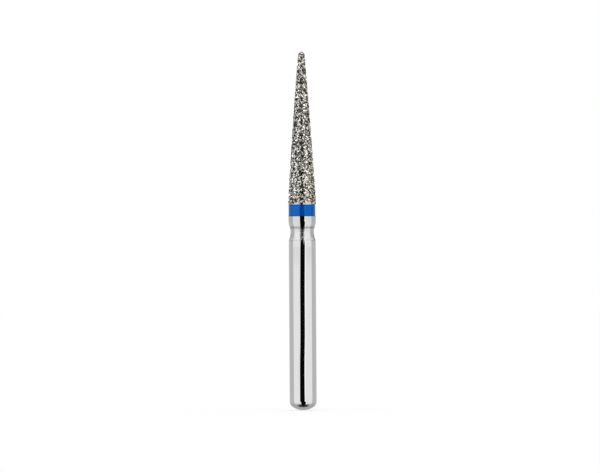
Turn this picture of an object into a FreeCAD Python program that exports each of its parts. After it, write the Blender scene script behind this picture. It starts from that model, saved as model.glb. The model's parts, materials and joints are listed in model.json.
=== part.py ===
"""Diamond dental bur with a needle-shaped head on a straight friction-grip shank.

Three pieces make it: a steel blank turned from one rod, a blue band that tells the grit size, and the
diamond coating, a nickel skin that holds the crystals on the blank's tapered core.
Millimetres. +Z runs along the bur from the shank to the tip. The origin is on the axis at the foot of
the straight part of the shank, where the chuck's grip begins.
"""

import FreeCAD, Part
import math
import os
import random

from FreeCAD import Vector

# The shank is the straight round length that a chuck grips. Its lower end is a shallow dome with a
# rounded shoulder.
SHANK_DIAMETER = 1.60
SHANK_LENGTH = 9.56
END_SHOULDER_RADIUS = 0.40
END_DOME_RADIUS = 1.10

# The shank's upper edge is eased by polishing over a short length before the neck begins.
EASED_DEPTH = 0.010
EASED_LENGTH = 0.45

# The neck is a hollow turned between the shank and the collar, with its waist nearer the collar.
NECK_DEPTH = 0.108
NECK_BELOW_WAIST = 0.52
NECK_ABOVE_WAIST = 0.21

# The collar swells from the neck's upper edge to a short straight length under the band.
COLLAR_STANDOUT = 0.015
COLLAR_FLARE = 0.088
COLLAR_FLARE_LENGTH = 0.505
COLLAR_STRAIGHT_LENGTH = 0.185

# The band fills a shallow groove at the top of the collar and lies a hair below the collar's surface.
BAND_LENGTH = 0.705
BAND_THICKNESS = 0.032
BAND_BELOW_COLLAR = 0.007
BAND_EDGE_RADIUS = 0.010

# The core is the blank's bare taper inside the head. Its sides swell outward a little, as arcs of a very
# large radius, and it ends in a ball.
CORE_BASE_DIAMETER = 1.41
CORE_SIDE_RADIUS = 360
CORE_TIP_RADIUS = 0.070
CORE_LENGTH = 8.93

# The coating: nickel of this thickness, with the points of the crystals standing out of it.
NICKEL_THICKNESS = 0.100
CRYSTAL_STANDOUT = 0.055

# The facets of the coating. Every third point of a net of triangles is a crystal's point. A few of the
# points between are raised too, which makes broad, blunt crystals among the pointed ones.
NET_PITCH = 0.100
LEAST_RING_COUNT = 6
CRYSTAL_REPEAT_COUNT = 3
CRYSTAL_HEIGHT_SHARE = (0.55, 1.0)
NICKEL_HEIGHT_SHARE = (0.0, 0.15)
BLUNT_SHARE = 0.22
NET_JITTER = 0.22
NET_SEED = 107

# Levels along the axis, from the foot of the grip.
SHANK_RADIUS = SHANK_DIAMETER / 2
SHANK_TOP_Z = SHANK_LENGTH
WAIST_Z = SHANK_TOP_Z + NECK_BELOW_WAIST
COLLAR_EDGE_Z = WAIST_Z + NECK_ABOVE_WAIST
COLLAR_Z = COLLAR_EDGE_Z + COLLAR_FLARE_LENGTH
BAND_FOOT_Z = COLLAR_Z + COLLAR_STRAIGHT_LENGTH
BAND_TOP_Z = BAND_FOOT_Z + BAND_LENGTH
CORE_TOP_Z = BAND_TOP_Z + CORE_LENGTH

# Radii that follow from the sizes above.
WAIST_RADIUS = SHANK_RADIUS - NECK_DEPTH
COLLAR_RADIUS = SHANK_RADIUS + COLLAR_STANDOUT
COLLAR_EDGE_RADIUS = COLLAR_RADIUS - COLLAR_FLARE
BAND_RADIUS = COLLAR_RADIUS - BAND_BELOW_COLLAR
GROOVE_RADIUS = BAND_RADIUS - BAND_THICKNESS
CORE_BASE_RADIUS = CORE_BASE_DIAMETER / 2

AXIS_POINT = Vector(0, 0, 0)
AXIS = Vector(0, 0, 1)
FULL_TURN = 360


class HalfSection:
    """The outline of a turned piece on one side of its axis, drawn edge after edge in radius and height."""

    def __init__(self, radius, height):
        self.start = Vector(radius, 0, height)
        self.here = self.start
        self.edges = []

    def line(self, radius, height):
        """A straight cut to the point given."""
        end = Vector(radius, 0, height)
        self.edges.append(Part.LineSegment(self.here, end).toShape())
        self.here = end

    def arc(self, middle, radius, height):
        """A round cut through a middle point, a pair of radius and height, to the point given."""
        end = Vector(radius, 0, height)
        self.edges.append(Part.Arc(self.here, Vector(middle[0], 0, middle[1]), end).toShape())
        self.here = end

    def turn(self):
        """The solid that the closed outline sweeps round the axis."""
        if (self.here - self.start).Length > 0:
            self.line(self.start.x, self.start.z)
        return Part.Face(Part.Wire(self.edges)).revolve(AXIS_POINT, AXIS, FULL_TURN)


def swelling_middle(upright, other):
    """The middle point of the arc that leaves the point called upright along the axis and ends at the other.

    Both points are pairs of radius and height.
    """
    out, along = other[0] - upright[0], other[1] - upright[1]
    arc_radius = (out**2 + along**2) / (2 * out)
    half_turn = math.asin(along / arc_radius) / 2
    return (
        upright[0] + arc_radius * (1 - math.cos(half_turn)),
        upright[1] + arc_radius * math.sin(half_turn),
    )


class Needle:
    """The head's outline a set distance outside the core, where 0 is the core's own surface.

    It is a side arc that runs into a ball at the tip. A place on it is told by the latitude of its outward
    normal, which is pi / 2 at the tip.
    """

    def __init__(self, distance):
        self.side_radius = CORE_SIDE_RADIUS + distance
        self.tip_radius = CORE_TIP_RADIUS + distance
        self.tip_centre = (0, CORE_TOP_Z - CORE_TIP_RADIUS)
        self.side_centre = self.find_side_centre()
        rise = self.tip_centre[1] - self.side_centre[1]
        self.touch_latitude = math.atan2(rise, -self.side_centre[0])
        self.foot_latitude = math.asin((BAND_TOP_Z - self.side_centre[1]) / self.side_radius)
        self.side_length = self.side_radius * (self.touch_latitude - self.foot_latitude)
        self.length = self.side_length + self.tip_radius * (math.pi / 2 - self.touch_latitude)

    def find_side_centre(self):
        """The centre of the arc that starts at the core's foot and touches the core's ball from outside."""
        foot = (CORE_BASE_RADIUS, BAND_TOP_Z)
        chord = math.dist(foot, self.tip_centre)
        reach = CORE_SIDE_RADIUS - CORE_TIP_RADIUS
        corner = math.acos((chord**2 + CORE_SIDE_RADIUS**2 - reach**2) / (2 * chord * CORE_SIDE_RADIUS))
        heading = math.atan2(self.tip_centre[1] - foot[1], -foot[0]) + corner
        return (
            foot[0] + CORE_SIDE_RADIUS * math.cos(heading),
            foot[1] + CORE_SIDE_RADIUS * math.sin(heading),
        )

    def place(self, latitude):
        """Radius and height of the outline at a latitude."""
        centre, reach = self.side_centre, self.side_radius
        if latitude > self.touch_latitude:
            centre, reach = self.tip_centre, self.tip_radius
        return centre[0] + reach * math.cos(latitude), centre[1] + reach * math.sin(latitude)

    def latitude_at(self, travel):
        """The latitude a way up the outline from its foot."""
        if travel <= self.side_length:
            return self.foot_latitude + travel / self.side_radius
        return self.touch_latitude + (travel - self.side_length) / self.tip_radius

    def draw(self, section):
        """Carry a half section on from the outline's foot to the tip on the axis."""
        side_middle = self.place((self.foot_latitude + self.touch_latitude) / 2)
        section.arc(side_middle, *self.place(self.touch_latitude))
        ball_middle = self.place((self.touch_latitude + math.pi / 2) / 2)
        section.arc(ball_middle, 0, self.tip_centre[1] + self.tip_radius)


def domed_end():
    """A half section that holds the shank's lower end: the dome, then the shoulder that runs into the grip.

    Both are arcs, and the shoulder's centre lies level with the grip's foot.
    """
    shoulder_axis = SHANK_RADIUS - END_SHOULDER_RADIUS
    reach = END_DOME_RADIUS - END_SHOULDER_RADIUS
    dome_centre_z = math.sqrt(reach**2 - shoulder_axis**2)
    # How far round the dome, from its lowest point, the two arcs meet.
    turn = math.asin(shoulder_axis / reach)

    def on_dome(angle):
        return END_DOME_RADIUS * math.sin(angle), dome_centre_z - END_DOME_RADIUS * math.cos(angle)

    def on_shoulder(angle):
        return (
            shoulder_axis + END_SHOULDER_RADIUS * math.sin(angle),
            -END_SHOULDER_RADIUS * math.cos(angle),
        )

    section = HalfSection(*on_dome(0))
    section.arc(on_dome(turn / 2), *on_dome(turn))
    section.arc(on_shoulder((turn + math.pi / 2) / 2), SHANK_RADIUS, 0)
    return section


def grip_and_neck(section):
    """The straight grip, its eased upper edge, and the hollow neck up to the collar's lower edge."""
    grip_top = (SHANK_RADIUS, SHANK_TOP_Z - EASED_LENGTH)
    shoulder = (SHANK_RADIUS - EASED_DEPTH, SHANK_TOP_Z)
    waist = (WAIST_RADIUS, WAIST_Z)
    edge = (COLLAR_EDGE_RADIUS, COLLAR_EDGE_Z)
    section.line(*grip_top)
    section.arc(swelling_middle(grip_top, shoulder), *shoulder)
    section.arc(swelling_middle(waist, shoulder), *waist)
    section.arc(swelling_middle(waist, edge), *edge)


def collar_and_groove(section):
    """The swelling under the collar, its straight length, and the groove that holds the band."""
    edge = (COLLAR_EDGE_RADIUS, COLLAR_EDGE_Z)
    collar = (COLLAR_RADIUS, COLLAR_Z)
    section.arc(swelling_middle(collar, edge), *collar)
    section.line(COLLAR_RADIUS, BAND_FOOT_Z)
    section.line(GROOVE_RADIUS, BAND_FOOT_Z)
    section.line(GROOVE_RADIUS, BAND_TOP_Z)


def steel_blank():
    """The whole bur as it leaves the lathe, bare: shank, neck, collar, groove and core in one piece."""
    section = domed_end()
    grip_and_neck(section)
    collar_and_groove(section)
    section.line(CORE_BASE_RADIUS, BAND_TOP_Z)
    Needle(0).draw(section)
    return section.turn()


def colour_band():
    """The ring of blue lacquer in its groove, with its two outer edges rounded."""
    section = HalfSection(GROOVE_RADIUS, BAND_FOOT_Z)
    section.line(BAND_RADIUS, BAND_FOOT_Z)
    section.line(BAND_RADIUS, BAND_TOP_Z)
    section.line(GROOVE_RADIUS, BAND_TOP_Z)
    ring = section.turn()
    outer_edges = [
        edge
        for edge in ring.Edges
        if isinstance(edge.Curve, Part.Circle) and edge.Curve.Radius > BAND_RADIUS - BAND_THICKNESS / 2
    ]
    return ring.makeFillet(min(BAND_EDGE_RADIUS, BAND_THICKNESS / 2), outer_edges)


def net_ring(row, nickel, row_step, draw):
    """One ring of the coating's net: its points in order round the axis, with the angle of each."""
    travel = row * row_step
    ring_radius = nickel.place(nickel.latitude_at(travel))[0]
    count = max(LEAST_RING_COUNT, round(2 * math.pi * ring_radius / NET_PITCH))
    ring = []
    for place in range(count):
        is_crystal = (place + row) % CRYSTAL_REPEAT_COUNT == 0 or draw.random() < BLUNT_SHARE
        low, high = CRYSTAL_HEIGHT_SHARE if is_crystal else NICKEL_HEIGHT_SHARE
        height = CRYSTAL_STANDOUT * draw.uniform(low, high)
        turn = (place + row % 2 / 2 + draw.uniform(-NET_JITTER, NET_JITTER)) / count
        # The first ring stays in the plane of the coating's foot.
        drift = draw.uniform(-NET_JITTER, NET_JITTER) * row_step if row else 0
        latitude = nickel.latitude_at(travel + drift)
        radius, level = nickel.place(latitude)
        radius += height * math.cos(latitude)
        rise = height * math.sin(latitude) if row else 0
        angle = 2 * math.pi * turn
        point = Vector(radius * math.cos(angle), radius * math.sin(angle), level + rise)
        ring.append((angle, point))
    return ring


def facets_between(lower, upper):
    """The triangles between two rings that need not have the same number of points."""
    facets = []
    low, high = 0, 0
    while low < len(lower) or high < len(upper):
        here = lower[low % len(lower)][1]
        above = upper[high % len(upper)][1]
        low_next = lower[(low + 1) % len(lower)]
        high_next = upper[(high + 1) % len(upper)]
        low_angle = low_next[0] + 2 * math.pi * ((low + 1) // len(lower))
        high_angle = high_next[0] + 2 * math.pi * ((high + 1) // len(upper))
        if high == len(upper) or (low < len(lower) and low_angle < high_angle):
            facets.append((here, low_next[1], above))
            low += 1
        else:
            facets.append((here, high_next[1], above))
            high += 1
    return facets


def crystal_skin():
    """The coating's outer surface: the facets of the crystals and of the nickel between them, and the
    outline of its foot."""
    draw = random.Random(NET_SEED)
    nickel = Needle(NICKEL_THICKNESS)
    rows = round(nickel.length / (NET_PITCH * math.sqrt(3) / 2))
    row_step = nickel.length / rows
    rings = [net_ring(row, nickel, row_step, draw) for row in range(rows)]
    facets = []
    for lower, upper in zip(rings, rings[1:]):
        facets += facets_between(lower, upper)
    tip = Vector(0, 0, nickel.tip_centre[1] + nickel.tip_radius + CRYSTAL_STANDOUT)
    top = [point for _, point in rings[-1]]
    facets += [(here, after, tip) for here, after in zip(top, top[1:] + top[:1])]
    return facets, [point for _, point in rings[0]]


def diamond_coating():
    """The nickel skin and its crystals as one closed solid, hollow where the core fills it."""
    facets, foot = crystal_skin()
    outside = [Part.Face(Part.makePolygon([*corners, corners[0]])) for corners in facets]
    bore = HalfSection(CORE_BASE_RADIUS, BAND_TOP_Z)
    Needle(0).draw(bore)
    inside = [edge.revolve(AXIS_POINT, AXIS, FULL_TURN) for edge in bore.edges]
    foot_hole = Part.Wire(Part.makeCircle(CORE_BASE_RADIUS, Vector(0, 0, BAND_TOP_Z)))
    foot_ring = Part.makeFace([Part.makePolygon([*foot, foot[0]]), foot_hole], "Part::FaceMakerBullseye")
    skin = Part.makeCompound([*outside, *inside, foot_ring])
    skin.sewShape()
    coating = Part.Solid(skin.Shells[0])
    if coating.Volume < 0:
        coating.reverse()
    return coating


PIECES = {
    "steel_blank": steel_blank,
    "colour_band": colour_band,
    "diamond_coating": diamond_coating,
}


def main():
    os.makedirs("parts", exist_ok=True)
    for name, make in PIECES.items():
        shape = make()
        if not shape.isValid() or len(shape.Solids) != 1:
            raise RuntimeError(f"{name} is not one sound solid")
        shape.exportStep(f"parts/{name}.step")
        box = shape.BoundBox
        print(
            f"{name}: {shape.Volume:.3f} mm3, {len(shape.Faces)} faces,"
            f" {box.XLength:.3f} x {box.YLength:.3f} x {box.ZLength:.3f} mm"
        )


main()
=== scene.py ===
# %% [markdown]
# # A diamond dental bur
#
# The bur is one thin steel rod, 1.6 mm across, turned on a lathe. Its lower half is the plain shank that a
# dentist's handpiece grips. Its upper half is a long taper that was dipped in a plating bath, where nickel
# grew round thousands of diamond crystals and fixed them to the steel. A blue ring of lacquer between the
# two tells how coarse the crystals are.
#
# The solid model already holds the true sizes. This notebook dresses it: the steel gets a finer turned
# mesh, a polish and its tool marks; the ring gets lacquer; and the head gets its nickel and its crystals
# one by one.

import json
import math
import random

import bmesh
import bpy
import numpy as np
from mathutils import Matrix, Quaternion, Vector


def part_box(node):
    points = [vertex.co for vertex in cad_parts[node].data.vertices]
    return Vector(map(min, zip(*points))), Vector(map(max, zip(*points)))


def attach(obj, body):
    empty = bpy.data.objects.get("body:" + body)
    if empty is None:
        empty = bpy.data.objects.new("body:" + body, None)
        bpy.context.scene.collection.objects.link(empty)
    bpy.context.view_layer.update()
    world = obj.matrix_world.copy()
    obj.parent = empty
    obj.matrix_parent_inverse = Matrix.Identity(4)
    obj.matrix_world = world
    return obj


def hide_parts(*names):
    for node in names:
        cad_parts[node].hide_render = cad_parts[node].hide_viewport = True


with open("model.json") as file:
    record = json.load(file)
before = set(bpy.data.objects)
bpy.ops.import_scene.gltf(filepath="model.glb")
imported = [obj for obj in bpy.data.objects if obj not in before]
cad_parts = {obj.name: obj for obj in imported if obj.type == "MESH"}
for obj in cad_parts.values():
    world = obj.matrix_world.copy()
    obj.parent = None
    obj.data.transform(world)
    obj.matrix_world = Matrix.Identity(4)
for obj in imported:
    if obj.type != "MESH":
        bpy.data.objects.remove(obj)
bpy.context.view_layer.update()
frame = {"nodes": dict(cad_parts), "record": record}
print("solids:", sorted(frame["nodes"]))

# %% [markdown]
# ## Where everything is
#
# The model is in metres with the bur's axis on Z, so the sizes below are read from its solids. A few turned
# details, such as the hollow neck, can't be read from a box round a solid, so they are named here with the
# values of the real part.

# %% Sizes
MM = 0.001

band_low, band_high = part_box("colour_band")
grit_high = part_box("diamond_coating")[1]
steel_low, steel_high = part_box("steel_blank")

SHANK_RADIUS = frame["record"]["mounts"][0]["dims"]["r_mm"] * MM
BAND_FOOT = band_low.z
BAND_TOP = band_high.z
BAND_RADIUS = band_high.x

SHANK_TOP = 9.56 * MM
END_SHOULDER_RADIUS = 0.40 * MM
END_DOME_RADIUS = 1.10 * MM
EASED_DEPTH = 0.010 * MM
EASED_LENGTH = 0.45 * MM
NECK_DEPTH = 0.108 * MM
NECK_BELOW_WAIST = 0.52 * MM
NECK_ABOVE_WAIST = 0.21 * MM
COLLAR_STANDOUT = 0.015 * MM
COLLAR_FLARE = 0.088 * MM
COLLAR_FLARE_LENGTH = 0.505 * MM
GROOVE_DEPTH = 0.039 * MM

WAIST = SHANK_TOP + NECK_BELOW_WAIST
COLLAR_EDGE = WAIST + NECK_ABOVE_WAIST
COLLAR_TOP = COLLAR_EDGE + COLLAR_FLARE_LENGTH
COLLAR_RADIUS = SHANK_RADIUS + COLLAR_STANDOUT

NICKEL_FOOT_RADIUS = 0.805 * MM
NICKEL_TIP_RADIUS = 0.170 * MM
NICKEL_SIDE_RADIUS = 360 * MM
CRYSTAL_STANDOUT = 0.055 * MM
NICKEL_TOP = grit_high.z - CRYSTAL_STANDOUT

print(f"shank {2 * SHANK_RADIUS / MM:.2f} mm across, bur {(grit_high.z - steel_low.z) / MM:.2f} mm long")

# %% [markdown]
# ## Turning on a lathe
#
# Every steel surface here was cut while the rod spun, so each is a flat outline swept once round the axis.
# Blender has three ways to do that: the Spin tool, the Screw modifier, or rings of points made in code.
# The Screw modifier is the shortest, because it takes the outline as a row of edges and does the rest.
# Its result is copied into a plain mesh at once, so that the piece is final. It is shaded smooth, but where
# two faces meet at more than a few degrees the edge between them stays sharp, as the tool left it.
#
# The outline itself is straight runs and arcs. All the arcs in the neck and collar have one thing in
# common: at one end they run along the axis. One helper draws that kind of arc, and one draws part of a
# circle round a given centre.

# %% Outline helpers
def swell(upright, other, steps=12):
    """Points of the arc that runs along the axis at the point upright and ends at the point other."""
    out = other[0] - upright[0]
    along = other[1] - upright[1]
    reach = (out * out + along * along) / (2 * abs(out))
    whole = math.asin(min(1, abs(along) / reach))
    points = []
    for step in range(1, steps + 1):
        turn = whole * step / steps
        radius = upright[0] + math.copysign(reach * (1 - math.cos(turn)), out)
        points.append((radius, upright[1] + math.copysign(reach * math.sin(turn), along)))
    return points


def round_about(centre, reach, first, last, steps=16):
    """Points of a circle's arc, by the angle up from level, from just after first to last."""
    angles = [first + (last - first) * step / steps for step in range(1, steps + 1)]
    return [(centre[0] + reach * math.cos(a), centre[1] + reach * math.sin(a)) for a in angles]


print("outline helpers ready")

# %% The lathe
TURNS = 144
MERGE_WITHIN = 0.0001 * MM
SHARP_FROM = math.radians(4.5)


def turned(name, outline, turns=TURNS):
    """The outline, a list of radius and height, swept round the Z axis into a named mesh object."""
    rod = bpy.data.meshes.new(name)
    corners = [(radius, 0, height) for radius, height in outline]
    rod.from_pydata(corners, [(n, n + 1) for n in range(len(corners) - 1)], [])
    piece = bpy.data.objects.new(name, rod)
    bpy.context.scene.collection.objects.link(piece)
    lathe = piece.modifiers.new("lathe", "SCREW")
    lathe.steps = turns
    lathe.render_steps = turns
    lathe.use_merge_vertices = True
    lathe.merge_threshold = MERGE_WITHIN
    lathe.use_normal_calculate = True
    seen = piece.evaluated_get(bpy.context.evaluated_depsgraph_get())
    piece.data = bpy.data.meshes.new_from_object(seen)
    piece.data.name = name
    piece.modifiers.clear()
    piece.data.shade_smooth()
    piece.data.set_sharp_from_angle(angle=SHARP_FROM)
    print(name, len(piece.data.polygons), "faces")
    return piece


print("lathe ready,", TURNS, "steps to a turn")

# %% [markdown]
# ## The steel blank
#
# From below: a shallow dome with a rounded shoulder, the straight shank, its softly polished upper edge,
# the hollow neck, the swelling collar, the shallow groove for the lacquer, and the shoulder that the
# nickel stands on. A very fine crease runs round the collar where its swelling meets the straight length:
# there the outline goes straight from a point on the arc to the groove. The taper inside the head can't be
# seen once it is plated, but the blank carries it as one piece, so the outline goes on to the tip inside
# the nickel.

# %% Turn the steel blank
# the collar's crease is this many steps of its arc away from the arc's upper end
CREASE_STEP = 3
CORE_FOOT_RADIUS = 0.705 * MM
CORE_TIP_RADIUS = 0.070 * MM
CORE_TIP_STEPS = 6
CORE_TOP = steel_high.z


def domed_end():
    """The dome from its lowest point, then the shoulder up to the shank's foot at height 0."""
    shoulder_axis = SHANK_RADIUS - END_SHOULDER_RADIUS
    reach = END_DOME_RADIUS - END_SHOULDER_RADIUS
    dome_centre = math.sqrt(reach * reach - shoulder_axis * shoulder_axis)
    meet = math.asin(shoulder_axis / reach) - math.pi / 2
    dome = round_about((0, dome_centre), END_DOME_RADIUS, -math.pi / 2, meet)
    shoulder = round_about((shoulder_axis, 0), END_SHOULDER_RADIUS, meet, 0)
    return [(0, dome_centre - END_DOME_RADIUS)] + dome + shoulder


def blank_outline():
    """Radius and height of the whole blank, from the dome to the taper's tip."""
    shoulder = (SHANK_RADIUS - EASED_DEPTH, SHANK_TOP)
    waist = (SHANK_RADIUS - NECK_DEPTH, WAIST)
    edge = (COLLAR_RADIUS - COLLAR_FLARE, COLLAR_EDGE)
    collar = (COLLAR_RADIUS, COLLAR_TOP)
    outline = domed_end()
    outline += [(SHANK_RADIUS, SHANK_TOP - EASED_LENGTH)]
    outline += swell(outline[-1], shoulder)
    outline += swell(waist, shoulder)[-2::-1] + [waist]
    outline += swell(waist, edge)
    flare = swell(collar, edge)
    outline += flare[-2 : CREASE_STEP - 2 : -1]
    outline += [(COLLAR_RADIUS, BAND_FOOT), (COLLAR_RADIUS - GROOVE_DEPTH, BAND_FOOT)]
    outline += [(COLLAR_RADIUS - GROOVE_DEPTH, BAND_TOP), (CORE_FOOT_RADIUS, BAND_TOP)]
    tip_centre = CORE_TOP - CORE_TIP_RADIUS
    ball = round_about((0, tip_centre), CORE_TIP_RADIUS, 0, math.pi / 2, CORE_TIP_STEPS)
    return outline + [(CORE_TIP_RADIUS, tip_centre)] + ball[:-1] + [(0, CORE_TOP)]


steel = turned("polished_blank", blank_outline())

# %% [markdown]
# ## The blue ring
#
# The ring is a band of lacquer painted into the groove while the bur spins. Surface tension rounds its two
# edges, and the brush leaves it a little uneven and slightly thinner on one side. So the turned band gets
# a lean to one side and a slow wave round the axis: a sum of a few sines with whole numbers of waves, which
# closes on itself without a seam.

# %% Turn the lacquer ring
BAND_EDGE = 0.010 * MM
BAND_EDGE_STEPS = 5
BAND_STEPS = 8
BAND_SINK = 0.8 * GROOVE_DEPTH
BAND_WAVE = 0.006 * MM
BAND_LEAN = 0.022 * MM
# how many waves each sine has round the axis, and the angle that it starts from
WAVES = ((3, 1), (7, 4), (16, 0))


def ring_outline():
    """The lacquer's outline from the groove's floor, out, up and back, with its two edges rounded."""
    inside = BAND_RADIUS - BAND_SINK
    edge_axis = BAND_RADIUS - BAND_EDGE
    step_up = (BAND_TOP - BAND_FOOT) / BAND_STEPS
    foot = round_about((edge_axis, BAND_FOOT + BAND_EDGE), BAND_EDGE, -math.pi / 2, 0, BAND_EDGE_STEPS)
    middle = [(BAND_RADIUS, BAND_FOOT + step_up * step) for step in range(1, BAND_STEPS)]
    top = round_about((edge_axis, BAND_TOP - BAND_EDGE), BAND_EDGE, 0, math.pi / 2, BAND_EDGE_STEPS)
    return [(inside, BAND_FOOT), (edge_axis, BAND_FOOT)] + foot + middle + top + [(inside, BAND_TOP)]


def wave(angle):
    """From -1 to 1 and smooth round the axis, with the same value after a full turn."""
    return sum(math.sin(count * angle + start) for count, start in WAVES) / len(WAVES)


def unsteady_brush(ring):
    """Draw the lacquer in a little where the brush left less of it."""
    for corner in ring.data.vertices:
        angle = math.atan2(corner.co.y, corner.co.x)
        thin = BAND_WAVE * (1 - wave(angle)) / 2 + BAND_LEAN * (1 + math.cos(angle)) / 2
        reach = math.hypot(corner.co.x, corner.co.y)
        share = (reach - thin) / reach
        corner.co.x *= share
        corner.co.y *= share
    ring.data.update()


lacquer = turned("blue_ring", ring_outline())
unsteady_brush(lacquer)

# %% [markdown]
# ## The nickel
#
# Nickel is the metal between the crystals. It follows the taper, and it rises a little wherever it has
# grown up against a crystal. A displaced mesh or a bump could give that. The crystals hide most of it, so
# a smooth turned skin is enough for the shape, and a bump in its finish gives the grain.
#
# Its outline has one long arc that swells very slightly, because the real taper isn't quite straight, and
# a ball at the tip. The same two arcs also tell where the crystals sit, so they get a small class that
# answers for any distance along the outline.

# %% Draw the head's outline
class Needle:
    """The head's outline: a long slow arc that runs into a ball at the tip."""

    def __init__(self, foot_radius, tip_radius, side_radius, foot, top):
        self.tip_radius = tip_radius
        self.side_radius = side_radius
        self.tip_centre = (0, top - tip_radius)
        chord = math.dist((foot_radius, foot), self.tip_centre)
        reach = side_radius - tip_radius
        corner = math.acos((chord**2 + side_radius**2 - reach**2) / (2 * chord * side_radius))
        heading = math.atan2(self.tip_centre[1] - foot, -foot_radius) + corner
        self.side_centre = (
            foot_radius + side_radius * math.cos(heading),
            foot + side_radius * math.sin(heading),
        )
        self.touch = math.atan2(self.tip_centre[1] - self.side_centre[1], -self.side_centre[0])
        self.first = math.asin((foot - self.side_centre[1]) / side_radius)
        self.side_length = side_radius * (self.touch - self.first)
        self.length = self.side_length + tip_radius * (math.pi / 2 - self.touch)

    def place(self, travel):
        """Radius, height and the outward slope's angle at a distance along the outline from its foot."""
        if travel <= self.side_length:
            centre, reach = self.side_centre, self.side_radius
            angle = self.first + travel / self.side_radius
        else:
            centre, reach = self.tip_centre, self.tip_radius
            angle = self.touch + (travel - self.side_length) / self.tip_radius
        return centre[0] + reach * math.cos(angle), centre[1] + reach * math.sin(angle), angle


needle = Needle(NICKEL_FOOT_RADIUS, NICKEL_TIP_RADIUS, NICKEL_SIDE_RADIUS, BAND_TOP, NICKEL_TOP)
print(f"the head is {needle.length / MM:.2f} mm along its outline")

# %% Turn the nickel skin
NICKEL_TURNS = 96
SIDE_STEPS = 40
BALL_STEPS = 20


def nickel_outline():
    """From inside the foot, out along the band's top, and up the taper to the tip."""
    side_step = needle.side_length / SIDE_STEPS
    ball_step = (needle.length - needle.side_length) / BALL_STEPS
    travels = [side_step * step for step in range(SIDE_STEPS)]
    travels += [needle.side_length + ball_step * step for step in range(BALL_STEPS)]
    skin = [needle.place(travel)[:2] for travel in travels]
    return [(CORE_FOOT_RADIUS, BAND_TOP)] + skin + [(0, NICKEL_TOP)]


nickel = turned("nickel_skin", nickel_outline(), NICKEL_TURNS)

# %% [markdown]
# ## The crystals
#
# Diamond grit is sieved, so the crystals are all about one size, but no two have the same form. They are
# blocky, with flat faces and sharp corners. A particle system could scatter one model over the nickel, but
# a mesh made in code exports as it is and gives every crystal its own place.
#
# Three choices keep it simple. A convex hull round a few random points looks just like a broken crystal,
# and a dozen such hulls, turned at random, are enough for thousands. Each crystal gets the same patch of
# nickel, and the next one sits a golden angle further round, as seeds do in a sunflower: that spreads them
# evenly with no rows. And a little unevenness on top hides the rule.

# %% Shape the crystal models
CRYSTAL_SIZE = 0.130 * MM
CRYSTAL_SPACING = 0.100 * MM
CRYSTAL_CORNERS = 11
CORNER_REACH = (0.45, 0.5)
MODEL_COUNT = 16
SEED = 168
SHADE_SEED = 3


def crystal_model(draw):
    """Corners and faces of one rough crystal, about 1 across, with its middle at the origin."""
    shape = bmesh.new()
    for _ in range(CRYSTAL_CORNERS):
        heading = Vector([draw.gauss(0, 1) for _ in range(3)]).normalized()
        shape.verts.new(heading * draw.uniform(*CORNER_REACH))
    hull = bmesh.ops.convex_hull(shape, input=shape.verts)
    bmesh.ops.delete(shape, geom=hull["geom_interior"], context="VERTS")
    shape.verts.index_update()
    corners = np.array([corner.co for corner in shape.verts])
    faces = [[corner.index for corner in face.verts] for face in shape.faces]
    shape.free()
    return corners, faces


model_draw = random.Random(SEED)
models = [crystal_model(model_draw) for _ in range(MODEL_COUNT)]
print(len(models), "crystal models with", sum(len(faces) for _, faces in models), "faces in all")

# %% [markdown]
# ## Setting the crystals in the nickel
#
# A crystal sits more than half sunk, and its top is nearly level, because the plated head is trued on a
# wheel. So each model is turned at random, pressed flat on its outer side, and then pushed in until its
# highest corner stands out by a set amount. Near the foot that amount is held back a little, so that no
# crystal reaches out past the solid model, and on the ball at the tip too, which keeps the tip slender.
#
# Three numbers are stored with every face: a tone and a warmth that the whole crystal shares, and a glint
# of its own. The finish uses them later, because a real crystal's faces flash light and dark one by one.
# They are drawn from a row of random numbers of their own, so new shades never move a crystal.

# %% Choose the crystals' places
GOLDEN_ANGLE = math.pi * (3 - math.sqrt(5))
PATCH = CRYSTAL_SPACING**2 * math.sqrt(3) / 2
WANDER = 0.25 * CRYSTAL_SPACING
END_MARGIN = 0.5 * CRYSTAL_SIZE


def crystal_places(draw):
    """Travel up the outline and angle round the axis of every crystal, from the foot to the tip."""
    travel = END_MARGIN
    places = []
    while travel < needle.length:
        radius = max(needle.place(travel)[0], END_MARGIN)
        up = min(max(travel + draw.uniform(-WANDER, WANDER), END_MARGIN), needle.length)
        angle = len(places) * GOLDEN_ANGLE + draw.uniform(-WANDER, WANDER) / radius
        places.append((up, angle))
        travel += PATCH / (2 * math.pi * radius)
    return places


print(f"one crystal to {PATCH / MM**2:.4f} square mm of nickel")

# %% Sink one crystal into the nickel
STANDOUT_SHARE = (0.4, 0.8)
TIP_SHARE = 0.6
FLATTENED = 0.66
TOP_LEAN = 0.045
SIZE_SHARE = (0.80, 1.20)
LEAST_COSINE = 0.1


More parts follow.
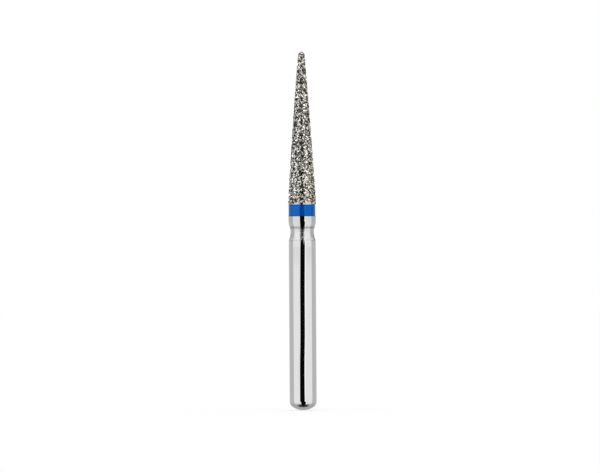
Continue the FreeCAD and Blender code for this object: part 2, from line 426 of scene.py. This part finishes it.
def set_crystal(corners, travel, angle, draw):
    """The model's corners where this crystal sits, turned at random and sunk into the nickel."""
    radius, height, slope = needle.place(travel)
    outward = np.array(
        [math.cos(angle) * math.cos(slope), math.sin(angle) * math.cos(slope), math.sin(slope)]
    )
    spin = Quaternion([draw.gauss(0, 1) for _ in range(4)]).normalized()
    stretch = np.array([draw.uniform(*SIZE_SHARE) for _ in range(3)]) * CRYSTAL_SIZE
    body = (corners * stretch) @ np.array(spin.to_matrix()).T
    lean = outward + [draw.uniform(-TOP_LEAN, TOP_LEAN) for _ in range(3)]
    lean = lean / np.linalg.norm(lean)
    over = body @ lean - (1 - FLATTENED) * (body @ lean).max()
    body = body - np.outer(np.maximum(over, 0), lean)
    room = min(CRYSTAL_STANDOUT, (grit_high.x - radius) / max(math.cos(slope), LEAST_COSINE))
    room = room * (1 - TIP_SHARE * math.sin(2 * slope))
    standout = room * draw.uniform(*STANDOUT_SHARE)
    surface = np.array([radius * math.cos(angle), radius * math.sin(angle), height])
    return body + surface + outward * (standout - (body @ outward).max())


print(f"crystals stand out by up to {STANDOUT_SHARE[1] * CRYSTAL_STANDOUT / MM:.3f} mm")

# %% Set all the crystals
def grow_crystals(name):
    """All the crystals as one mesh, with the three stored numbers on each face."""
    draw = random.Random(SEED + 1)
    shades = random.Random(SHADE_SEED)
    corners, faces, tones, glints, warmths = [], [], [], [], []
    for travel, angle in crystal_places(draw):
        model_corners, model_faces = draw.choice(models)
        first = len(corners)
        corners.extend(set_crystal(model_corners, travel, angle, draw))
        faces.extend([first + corner for corner in face] for face in model_faces)
        tones.extend([shades.random()] * len(model_faces))
        glints.extend(shades.random() for _ in model_faces)
        warmths.extend([shades.random()] * len(model_faces))
    grit = bpy.data.meshes.new(name)
    grit.from_pydata(corners, [], faces)
    stored = {"crystal_tone": tones, "crystal_warmth": warmths, "facet_glint": glints}
    for label, values in stored.items():
        grit.attributes.new(label, "FLOAT", "FACE").data.foreach_set("value", values)
    piece = bpy.data.objects.new(name, grit)
    bpy.context.scene.collection.objects.link(piece)
    print(name, len(faces), "faces")
    return piece


crystals = grow_crystals("diamond_crystals")

# %% [markdown]
# ## A short way to write materials
#
# A material is a graph of nodes, and long lists of nodes and links hide what it does. So arithmetic in a
# material is written here as arithmetic: a wire stands for a number on its way through the graph, and each
# sign between two wires adds the Math node for it. Everything else comes from one method that takes the
# node's kind, its settings, and a value or a wire for each socket.

# %% Wires
def sign(operation):
    """The two methods that Python calls for one arithmetic sign, with the wire on its left and right."""

    def on_left(wire, other):
        return wire.finish.node("Math", {"operation": operation}, {0: wire, 1: other})

    def on_right(wire, other):
        return wire.finish.node("Math", {"operation": operation}, {0: other, 1: wire})

    return on_left, on_right


class Wire:
    """A number, colour or vector on its way through a finish. The signs are for numbers."""

    def __init__(self, finish, socket):
        self.finish = finish
        self.socket = socket

    __add__, __radd__ = sign("ADD")
    __sub__, __rsub__ = sign("SUBTRACT")
    __mul__, __rmul__ = sign("MULTIPLY")


print("wires add, subtract and multiply")

# %% Finishes
class Finish:
    """A material, and the few ways in which this notebook adds nodes to it."""

    def __init__(self, name):
        self.material = bpy.data.materials.new(name)
        self.material.use_nodes = True
        self.tree = self.material.node_tree

    def node(self, kind, settings=None, values=None, output=0):
        """A new node's output. The settings come first, because some of them change the sockets."""
        made = self.tree.nodes.new("ShaderNode" + kind)
        for name, setting in (settings or {}).items():
            if name == "stops":
                self.set_stops(made.color_ramp, setting)
            else:
                setattr(made, name, setting)
        for name, value in (values or {}).items():
            self.feed(made.inputs[name], value)
        return Wire(self, made.outputs[output])

    def feed(self, socket, value):
        """Give a socket a plain value, or join a wire to it."""
        if isinstance(value, Wire):
            self.tree.links.new(value.socket, socket)
        else:
            socket.default_value = value

    def set_stops(self, ramp, stops):
        """Give a colour ramp its list of place and colour."""
        ramp.elements.remove(ramp.elements[1])
        ramp.elements[0].position, ramp.elements[0].color = stops[0]
        for place, colour in stops[1:]:
            ramp.elements.new(place).color = colour

    def surface(self, **values):
        """Set the sockets of the main shader, with words in place of spaces."""
        shader = self.tree.nodes["Principled BSDF"]
        for name, value in values.items():
            self.feed(shader.inputs[name.replace("_", " ")], value)

    def place(self):
        """The point on the piece, in metres from the bur's origin."""
        return self.node("TexCoord", output="Object")

    def height(self):
        """How far up the bur the point is."""
        return self.node("SeparateXYZ", values={0: self.place()}, output="Z")

    def side(self, reach):
        """0 on the bur's left side and 1 on its right, with a smooth climb of reach on both sides."""
        across = self.node("SeparateXYZ", values={0: self.place()}, output="X")
        return self.rise(across, -reach, reach)

    def rise(self, value, start, end, how="SMOOTHSTEP"):
        """0 before start, 1 past end, and a climb between, smooth if nothing else is said."""
        ends = {"Value": value, "From Min": start, "From Max": end}
        return self.node("MapRange", {"interpolation_type": how}, ends)

    def line_at(self, value, middle, half_width):
        """1 at the middle, falling smoothly to 0 at half_width on both sides of it."""
        climb = self.rise(value, middle - half_width, middle)
        return climb * (1 - self.rise(value, middle, middle + half_width))

    def noise(self, across, along, detail=2.0):
        """Noise from 0 to 1 with so many cells to the millimetre across the bur and along it."""
        cells = (across / MM, across / MM, along / MM)
        spread = self.node("VectorMath", {"operation": "MULTIPLY"}, {0: self.place(), 1: cells})
        return self.node("TexNoise", values={"Vector": spread, "Scale": 1.0, "Detail": detail})

    def blend(self, share, first, second):
        """From the first colour to the second as share goes from 0 to 1."""
        return self.node("Mix", {"data_type": "RGBA"}, {0: share, 6: first, 7: second}, output=2)

    def bump(self, height, depth, strength=1.0):
        """A normal that follows the height, whose 1 is depth metres."""
        return self.node("Bump", values={"Height": height, "Distance": depth, "Strength": strength})


print("ready to mix finishes")

# %% [markdown]
# ## Polished steel
#
# The shank is ground and polished to a mirror, so it shows the room as clean light and dark bands. A wheel
# can't reach into the neck, where the lathe tool's fine rings remain and blur what it mirrors. The collar
# took a faint straw and blue tint from the heat of its bath, and a trace of lacquer along its upper edge.
# Thin dark lines of painted shade run round the creases at both ends of the neck.
#
# Real rings are far finer than a picture's dots, so a bump as fine as they are would only be noise. Their
# blur is given as roughness instead. They run round the bur, so they smear a reflection up and down and
# leave it sharp from side to side, which is what an anisotropic shine does. A shallow bump, from a noise
# that is drawn out round the axis, breaks it up a little.

# %% Choose the steel's colours
STEEL = (0.755, 0.755, 0.76, 1)
STEEL_STRAW = (0.71, 0.695, 0.645, 1)
STEEL_BLUE = (0.61, 0.69, 0.74, 1)
# painted shade: the colour of the dark lines painted round the neck's two creases
STEEL_PAINTED_SHADE = (0.40, 0.39, 0.38, 1)
LACQUER_TRACE = (0.50, 0.72, 0.98, 1)
HEAT_STRENGTH = 0.9
UPPER_PAINTED_SHADE = 0.8
LOWER_PAINTED_SHADE = 0.35


def steel_colour(finish, height):
    """Bright steel with the collar's heat tint, its trace of lacquer, and painted shade in the two creases.
    """
    heat = finish.blend(finish.rise(finish.noise(1.5, 5.0), 0.4, 0.6), STEEL_STRAW, STEEL_BLUE)
    collar = finish.rise(height, COLLAR_EDGE, COLLAR_TOP)
    colour = finish.blend(collar * HEAT_STRENGTH, STEEL, heat)
    trace = finish.rise(height, BAND_FOOT - 0.06 * MM, BAND_FOOT - 0.01 * MM)
    colour = finish.blend(trace, colour, LACQUER_TRACE)
    # painted shade: dark lines round the neck's two creases, darker at the collar's edge than at the
    # shank's top
    painted_crease_shade = finish.line_at(height, COLLAR_EDGE + 0.03 * MM, 0.12 * MM) * UPPER_PAINTED_SHADE
    painted_crease_shade = painted_crease_shade + finish.line_at(height, SHANK_TOP, 0.06 * MM) * LOWER_PAINTED_SHADE
    return finish.blend(painted_crease_shade, colour, STEEL_PAINTED_SHADE)


print("steel colours ready")

# %% Mix the steel
MIRROR_BLUR = 0.03
NECK_BLUR = 0.26
RING_BLUR = 0.01
RING_DEPTH = 0.0002 * MM
RINGS_LEFT_ON_SHANK = 0.2
RING_SMEAR = 0.9
QUARTER_TURN = 0.25


def steel_finish():
    """A mirror on the shank and collar, and fine turned rings in the neck."""
    finish = Finish("polished_steel")
    height = finish.height()
    rings = finish.noise(0.4, 45.0, detail=3.0)
    neck = finish.rise(height, SHANK_TOP - 0.12 * MM, SHANK_TOP + 0.1 * MM)
    neck = neck * (1 - finish.rise(height, COLLAR_EDGE - 0.05 * MM, COLLAR_EDGE + 0.12 * MM))
    depth = neck * (1 - RINGS_LEFT_ON_SHANK) + RINGS_LEFT_ON_SHANK
    finish.surface(
        Base_Color=steel_colour(finish, height),
        Metallic=1.0,
        Roughness=MIRROR_BLUR + neck * NECK_BLUR + rings * RING_BLUR,
        Anisotropic=RING_SMEAR,
        Anisotropic_Rotation=QUARTER_TURN,
        Normal=finish.bump(rings * depth, RING_DEPTH),
    )
    return finish.material


steel.data.materials.clear()
steel.data.materials.append(steel_finish())
print("steel mixed")

# %% [markdown]
# ## Blue lacquer
#
# The ring's lacquer is thin and a little see-through, so some of its light comes back from the metal under
# it: a plain blue plastic would look chalky beside it. A real layered shader could trace that, but giving
# the colour a share of metal does the same with one number. It covers unevenly, so the blue drifts between
# two tones, and a painted light makes the left side of the ring lighter than the right.

# %% Mix the lacquer
LACQUER_DEEP = (0.0015, 0.058, 0.43, 1)
LACQUER_LIGHT = (0.0035, 0.097, 0.51, 1)
LACQUER_EDGE = (0.012, 0.05, 0.19, 1)
LACQUER_SHINE = (0.1, 1.0, 1.0, 1)
LACQUER_METAL = 0.3
LACQUER_BLUR = 0.11
COVER_BLUR = 0.05
COVER_SHARE = 0.4
# painted light: how much lighter the ring's left side is painted
PAINTED_SIDE_LIGHT = 0.6
LACQUER_DEPTH = 0.001 * MM


def lacquer_finish():
    """Two blues that drift with the cover, a painted light that makes the left side lighter, and a dark
    line along both edges.
    """
    finish = Finish("blue_lacquer")
    height = finish.height()
    cover = finish.rise(finish.noise(6.0, 6.0, detail=3.0), 0.35, 0.65)
    edge = finish.rise(height, BAND_TOP - 0.10 * MM, BAND_TOP - 0.03 * MM)
    edge = edge + 1 - finish.rise(height, BAND_FOOT + 0.03 * MM, BAND_FOOT + 0.10 * MM)
    # painted light: the ring's left side is painted lighter than its right
    light = cover * COVER_SHARE + (1 - finish.side(0.3 * MM)) * PAINTED_SIDE_LIGHT
    blue = finish.blend(light, LACQUER_DEEP, LACQUER_LIGHT)
    finish.surface(
        Base_Color=finish.blend(edge, blue, LACQUER_EDGE),
        Metallic=LACQUER_METAL,
        Specular_IOR_Level=1.0,
        Specular_Tint=LACQUER_SHINE,
        Roughness=LACQUER_BLUR + cover * COVER_BLUR,
        Normal=finish.bump(cover, LACQUER_DEPTH),
    )
    return finish.material


lacquer.data.materials.clear()
lacquer.data.materials.append(lacquer_finish())
print("lacquer mixed")

# %% [markdown]
# ## Plated nickel
#
# Nickel comes out of the bath matt and slightly warm, with a grain of its own. It mirrors the room only in
# a blurred way, but that is enough for the dark stripe of the room's gap to run up the head between the
# crystals. The narrow rim above the ring is bare: no grain, a better shine, and a touch of the ring's blue.

# %% Mix the nickel
NICKEL_DARK = (0.06, 0.056, 0.052, 1)
NICKEL_LIGHT = (0.34, 0.325, 0.30, 1)
NICKEL_BARE = (0.50, 0.61, 0.80, 1)
NICKEL_BLUR = 0.26
BARE_BLUR = 0.10
GRAIN_DEPTH = 0.004 * MM


def nickel_finish():
    """Grained, blurred nickel, and its bare bright rim above the ring."""
    finish = Finish("plated_nickel")
    grain = finish.noise(14.0, 14.0, detail=3.0)
    plated = finish.blend(finish.rise(grain, 0.35, 0.65), NICKEL_DARK, NICKEL_LIGHT)
    bare = 1 - finish.rise(finish.height(), BAND_TOP + 0.05 * MM, BAND_TOP + 0.10 * MM)
    finish.surface(
        Base_Color=finish.blend(bare, plated, NICKEL_BARE),
        Metallic=1.0,
        Roughness=NICKEL_BLUR - bare * (NICKEL_BLUR - BARE_BLUR),
        Normal=finish.bump(grain * (1 - bare), GRAIN_DEPTH, strength=0.6),
    )
    return finish.material


nickel.data.materials.clear()
nickel.data.materials.append(nickel_finish())
print("nickel mixed")

# %% [markdown]
# ## Diamond
#
# A diamond bends and traps light so strongly that at this size each face simply looks bright or dark.
# Tracing that through thousands of glass crystals would be slow and grainy, and a baked model couldn't
# keep it. So the crystals are opaque and mostly mirror here, and that light and dark is painted into their
# colour: the tone and the glint stored on the faces choose how dark each one is, from near black to white.
# The warmth makes it more or less yellowish, as real grit is, and the right side of the head is made a
# little yellower. The lowest crystals, next to the ring, also have a faint rose or olive stain.

# %% Choose the diamond's colours
DIAMOND_CLEAR = (0.985, 0.9775, 0.943, 1)
DIAMOND_WARM = (1.0, 0.9355, 0.819, 1)
DIAMOND_ROSE = (0.92, 0.78, 0.80, 1)
DIAMOND_OLIVE = (0.95, 0.85, 0.62, 1)
WARM_SIDE_SHARE = 0.5
STAIN_STRENGTH = 0.8


def diamond_tint(finish):
    """Clear to yellowish by crystal and by side, with a stain near the foot of the head."""
    warmth = finish.node("Attribute", {"attribute_name": "crystal_warmth"}, output="Fac")
    warmth = warmth * (1 - WARM_SIDE_SHARE) + finish.side(0.45 * MM) * WARM_SIDE_SHARE
    stain = finish.blend(finish.rise(finish.noise(2.0, 2.0), 0.4, 0.6), DIAMOND_ROSE, DIAMOND_OLIVE)
    foot = 1 - finish.rise(finish.height(), BAND_TOP + 0.2 * MM, BAND_TOP + 0.7 * MM)
    return finish.blend(foot * STAIN_STRENGTH, finish.blend(warmth, DIAMOND_CLEAR, DIAMOND_WARM), stain)


print("diamond colours ready")

# %% Mix the diamond
# how bright a face is by its light, which is the sum of its three shares
DIAMOND_TONES = [
    (0.0, (0.010, 0.010, 0.010, 1)),
    (0.34, (0.03, 0.03, 0.03, 1)),
    (0.42, (0.20, 0.20, 0.20, 1)),
    (0.50, (0.88, 0.88, 0.88, 1)),
    (0.58, (1.0, 1.0, 1.0, 1)),
]
TONE_SHARE = 0.78
GLINT_SHARE = 0.18
PATCH_SHARE = 0.04
DIAMOND_METAL = 0.85
DIAMOND_BLUR = 0.12


def diamond_finish():
    """Each face dark or bright by its stored numbers, and tinted."""
    finish = Finish("diamond")
    tone = finish.node("Attribute", {"attribute_name": "crystal_tone"}, output="Fac")
    glint = finish.node("Attribute", {"attribute_name": "facet_glint"}, output="Fac")
    patch = finish.rise(finish.noise(3.0, 3.0), 0.35, 0.65)
    # painted light: tone and glint paint the light and dark that a clear crystal traps into its colour
    light = tone * TONE_SHARE + glint * GLINT_SHARE + patch * PATCH_SHARE
    grey = finish.node("ValToRGB", {"stops": DIAMOND_TONES}, {0: light})
    tinted = finish.node("VectorMath", {"operation": "MULTIPLY"}, {0: grey, 1: diamond_tint(finish)})
    finish.surface(
        Base_Color=tinted,
        Metallic=DIAMOND_METAL,
        Specular_IOR_Level=0.4,
        Roughness=DIAMOND_BLUR,
    )
    return finish.material


crystals.data.materials.append(diamond_finish())
print("diamond mixed")

# %% [markdown]
# ## What stands for what
#
# Each dressed piece rides on the bur's one body and stands in for the plain solid under it.

# %% Fit the pieces to the solid model
for piece, slot, node in (
    (steel, "steel", "steel_blank"),
    (lacquer, "band_lacquer", "colour_band"),
    (nickel, "diamond_grit", "diamond_coating"),
    (crystals, "diamond_grit", "diamond_coating"),
):
    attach(piece, "root")
    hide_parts(node)
    print(piece.name, "stands for", node)

# %% [markdown]
# ## The light tent
#
# A mirror-bright rod is a picture of the room, so the room is what has to be lit. Small shiny things are
# photographed inside a tent of white cloth. The lens looks in through a gap, and the rod shows that gap as
# its dark central stripe, which moves a little to the side where the gap slants. Lamps behind the cloth
# make it brighter on both sides and above. The cloth behind the bur is in shade, which draws the grey
# lines along its edges, and the dark table and a hole in the cloth over it show in the domed end.
#
# Flat cards round the bur could do the same, but each would be one more thing to aim. The tent here is one
# ball round the bur that only mirrored light can see, painted with how bright the cloth is in each
# direction. Everything else is lit by a plain white sky, so a colour comes out as it is written.

# %% Plan the tent
TENT_RADIUS = 0.15
TENT_CENTRE = Vector((0, 0, (steel_low.z + grit_high.z) / 2))
ALL_ROUND = (-200, 200)
IN_FRONT = (-85.5, 85.5)
BEHIND_LEFT = (-200, -85.5)
BEHIND_RIGHT = (85.5, 200)
PATCHES = (
    # degrees round, degrees up, softness of the edges round and up, brightness
    ("low cloth", ALL_ROUND, (-100, -23), (2, 12), 0.88),
    ("lamp high on the left", (-75, -22), (11, 18), (8, 2), 1.5),
    ("lamp low on the right", (20, 74), (7, 13), (8, 2), 1.6),
    ("seam in the cloth", IN_FRONT, (-1.0, 0.1), (2, 0.3), 0.90),
    ("shade behind, left", BEHIND_LEFT, (-100, 100), (2, 2), 0.60),
    ("shade behind, right", BEHIND_RIGHT, (-100, 100), (2, 2), 0.60),
    ("high shade, left", BEHIND_LEFT, (5.5, 16), (2, 2.5), 0.30),
    ("high shade, right", BEHIND_RIGHT, (5.5, 16), (2, 2.5), 0.15),
    ("upper shade, left", BEHIND_LEFT, (17, 100), (2, 2), 0.80),
    ("upper shade, right", BEHIND_RIGHT, (17, 100), (2, 2), 0.90),
    ("low shade, left", BEHIND_LEFT, (-100, -23), (2, 12), 0.48),
    ("low shade, right", BEHIND_RIGHT, (-100, -23), (2, 12), 0.48),
    ("table", IN_FRONT, (-100, -44.5), (2, 3.5), 0.36),
)
# the hole's middle, the cosines of the angles from it at which the hole fades in, and its brightness
HOLE_WAY = Vector((0, -0.16, -0.987))
HOLE_EDGE = (0.83, 0.93)
HOLE_LEVEL = 0.05
# degrees up where a slant of the gap begins and ends, and how far it carries the gap to the left
GAP_SLANTS = ((-0.3, -2.2, 4.0), (-4.3, -5.3, 5.5))
# degrees up over which the slants fade out again further down
SLANTS_FADE = (-10, -6.5)
GAPS = (
    ("sheen by the lens", (22.5, 33), (-44, 100), (1, 2), 1.18),
    ("gap", (-17, 22.5), (-100, 4.5), (1, 3.5), 0.003),
    ("low gap", (-19, 25), (-100, -7), (1, 1), 0.003),
    ("high gap", (-14, 9), (-2, 24), (1, 3.5), 0.003),
    ("lamp above", ALL_ROUND, (66, 100), (1, 2), 6.5),
    ("upper gap", (-24, 20), (18, 120), (1, 3.5), 0.06),
)
print(len(PATCHES) + len(GAPS), "patches to paint")

# %% Paint the tent
def tent_finish():
    """Brightness by direction: degrees round from the lens, positive to its right, and degrees up."""
    finish = Finish("tent_cloth")
    heading = finish.node("VectorMath", {"operation": "SUBTRACT"}, {0: finish.place(), 1: TENT_CENTRE})
    heading = finish.node("VectorMath", {"operation": "NORMALIZE"}, {0: heading})
    right, away, up = [finish.node("SeparateXYZ", values={0: heading}, output=name) for name in "XYZ"]
    round_by = finish.node("Math", {"operation": "ARCTAN2"}, {0: right, 1: 0 - away}) * math.degrees(1)
    up_by = finish.node("Math", {"operation": "ARCSINE"}, {0: up}) * math.degrees(1)

    def between(value, ends, soft):
        """1 between the two ends and 0 outside them, with soft edges."""
        climb = finish.rise(value, ends[0] - soft, ends[0] + soft)
        return climb * (1 - finish.rise(value, ends[1] - soft, ends[1] + soft))

    def paint(level, patches, round_by):
        """The level with each patch laid over it in turn."""
        for _, round_ends, up_ends, soft, brightness in patches:
            mask = between(round_by, round_ends, soft[0]) * between(up_by, up_ends, soft[1])
            level = level + mask * (brightness - level)
        return level

    hole = finish.node("VectorMath", {"operation": "DOT_PRODUCT"}, {0: heading, 1: HOLE_WAY}, "Value")
    level = paint(1.0, PATCHES, round_by)
    level = level + finish.rise(hole, *HOLE_EDGE) * (HOLE_LEVEL - level)
    slant = sum(finish.rise(up_by, start, end, "LINEAR") * turn for start, end, turn in GAP_SLANTS)
    level = paint(level, GAPS, round_by + slant * finish.rise(up_by, *SLANTS_FADE))
    cloth = finish.node("Emission", values={"Color": level})
    finish.feed(finish.tree.nodes["Material Output"].inputs["Surface"], cloth)
    finish.material.cycles.emission_sampling = "NONE"
    return finish.material


tent_cloth = tent_finish()
print("tent cloth painted")

# %% Put up the tent
def light_tent():
    """The painted ball, seen by mirrored light alone."""
    ball = bmesh.new()
    bmesh.ops.create_icosphere(ball, subdivisions=5, radius=TENT_RADIUS)
    bmesh.ops.translate(ball, vec=TENT_CENTRE, verts=ball.verts)
    cloth = bpy.data.meshes.new("light_tent")
    ball.to_mesh(cloth)
    ball.free()
    cloth.materials.append(tent_cloth)
    tent = bpy.data.objects.new("light_tent", cloth)
    bpy.context.scene.collection.objects.link(tent)
    for ray in ("camera", "diffuse", "transmission", "volume_scatter", "shadow"):
        setattr(tent, "visible_" + ray, False)


light_tent()
print("tent up,", 2 * TENT_RADIUS, "m across")

# %% [markdown]
# ## Floor and sky
#
# The sky is plain white all round, which makes both the white background and an even light. The floor is
# as white to the camera, so it can't be told from the sky, and it still darkens where the bur keeps the
# light off it. To everything else it is a little greyer, and the steel mirrors the tent in place of it.

# %% Lay the floor
FLOOR_RADIUS = 0.5
FLOOR_GREY = (0.80, 0.80, 0.80, 1)
WHITE = (1, 1, 1, 1)
WHITENING = 0.6


def floor_finish():
    """White to the camera and grey to the rest, part of it shining so that only the shadow shows."""
    finish = Finish("white_floor")
    to_camera = finish.node("LightPath", output="Is Camera Ray")
    finish.surface(
        Base_Color=finish.blend(to_camera, FLOOR_GREY, WHITE),
        Roughness=1.0,
        Specular_IOR_Level=0.0,
    )
    plain = Wire(finish, finish.tree.nodes["Principled BSDF"].outputs[0])
    white = finish.node("Emission", values={"Strength": 1.0})
    seen = finish.node("MixShader", values={0: to_camera * WHITENING, 1: plain, 2: white})
    finish.feed(finish.tree.nodes["Material Output"].inputs["Surface"], seen)
    return finish.material


def lay_floor():
    """A round white sheet just under the bur."""
    disc = bmesh.new()
    bmesh.ops.create_circle(disc, cap_ends=True, segments=64, radius=FLOOR_RADIUS)
    bmesh.ops.translate(disc, vec=(0, 0, steel_low.z), verts=disc.verts)
    sheet = bpy.data.meshes.new("floor")
    disc.to_mesh(sheet)
    disc.free()
    sheet.materials.append(floor_finish())
    floor = bpy.data.objects.new("floor", sheet)
    bpy.context.scene.collection.objects.link(floor)
    floor.visible_glossy = False


lay_floor()
print("floor at", round(steel_low.z / MM, 3), "mm")

# %% Light the sky
def light_sky():
    """A plain white sky of strength 1."""
    sky = bpy.data.worlds.new("white_sky")
    sky.use_nodes = True
    sky.node_tree.nodes["Background"].inputs["Color"].default_value = WHITE
    sky.node_tree.nodes["Background"].inputs["Strength"].default_value = 1.0
    sky.cycles.sampling_method = "NONE"
    bpy.context.scene.world = sky


light_sky()
print("sky lit")

# %% [markdown]
# ## The camera
#
# The picture was taken square to the bur from far away: every ring's edge looks straight, so there is
# almost no perspective. A long lens at 0.4 m gives that. Its focal length follows from how many dots the
# picture gives to a millimetre. The bur leans a third of a degree to the left in the picture, and its axis
# passes a little right of the middle.

# %% Place the camera
PICTURE_WIDTH = 600
DOTS_PER_MM = 16.85
DISTANCE = 0.4
PICTURE_MIDDLE = 9.785 * MM
AXIS_RIGHT_OF_MIDDLE = 2.25
LEAN = math.radians(0.33)

lens = bpy.data.cameras.new("long_lens")
view_width = PICTURE_WIDTH / DOTS_PER_MM * MM
lens.lens = lens.sensor_width * DISTANCE / view_width
camera = bpy.data.objects.new("camera", lens)
aside = AXIS_RIGHT_OF_MIDDLE / DOTS_PER_MM * MM
turn = Matrix.Rotation(math.pi / 2, 4, "X") @ Matrix.Rotation(-LEAN, 4, "Z")
camera.matrix_world = Matrix.Translation((-aside, -DISTANCE, PICTURE_MIDDLE)) @ turn
bpy.context.scene.collection.objects.link(camera)
bpy.context.scene.camera = camera
bpy.context.scene.view_settings.view_transform = "Standard"
print(f"lens {lens.lens:.0f} mm, view {view_width / MM:.1f} mm wide")
